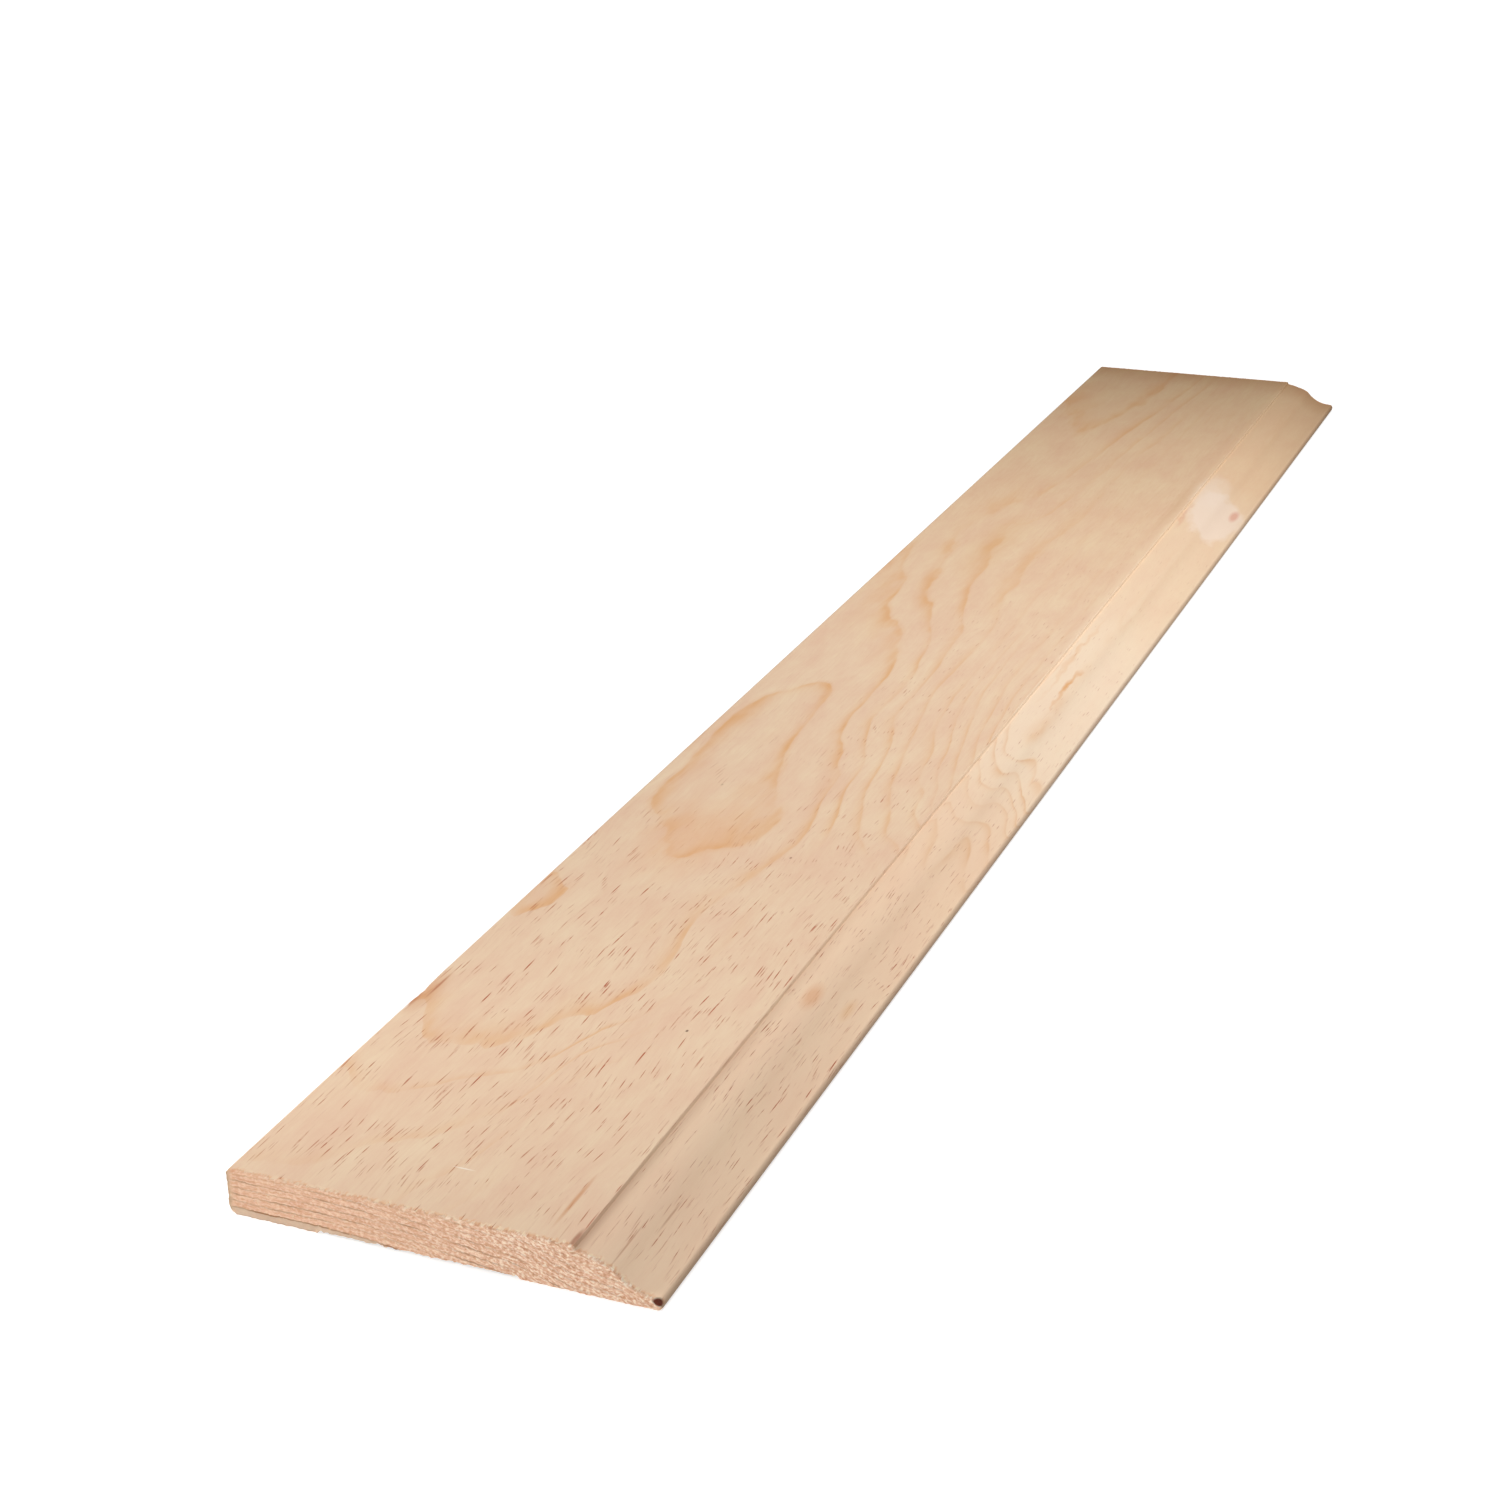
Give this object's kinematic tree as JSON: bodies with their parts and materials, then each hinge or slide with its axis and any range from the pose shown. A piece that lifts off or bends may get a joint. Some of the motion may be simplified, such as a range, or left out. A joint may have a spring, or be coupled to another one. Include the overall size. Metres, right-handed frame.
{
  "type": "skirting board length",
  "caption": "Straight length of pine skirting board: a flat face with a small quirk and an ogee running out to a thin rounded top edge, hollowed back, square-sawn ends.",
  "frame": {"origin": "middle of the board's length and width, on the plane of its back", "axes": "+Y along the board, +X across it from the thick edge that stands on the floor to the thin moulded edge, +Z out of the moulded face, away from the wall"},
  "size_m": [0.1334, 0.9144, 0.0143],
  "materials": {
    "pine": "planed, unfinished"
  },
  "bodies": {
    "root": {"skirting_board": "pine"}
  },
  "joints": []
}
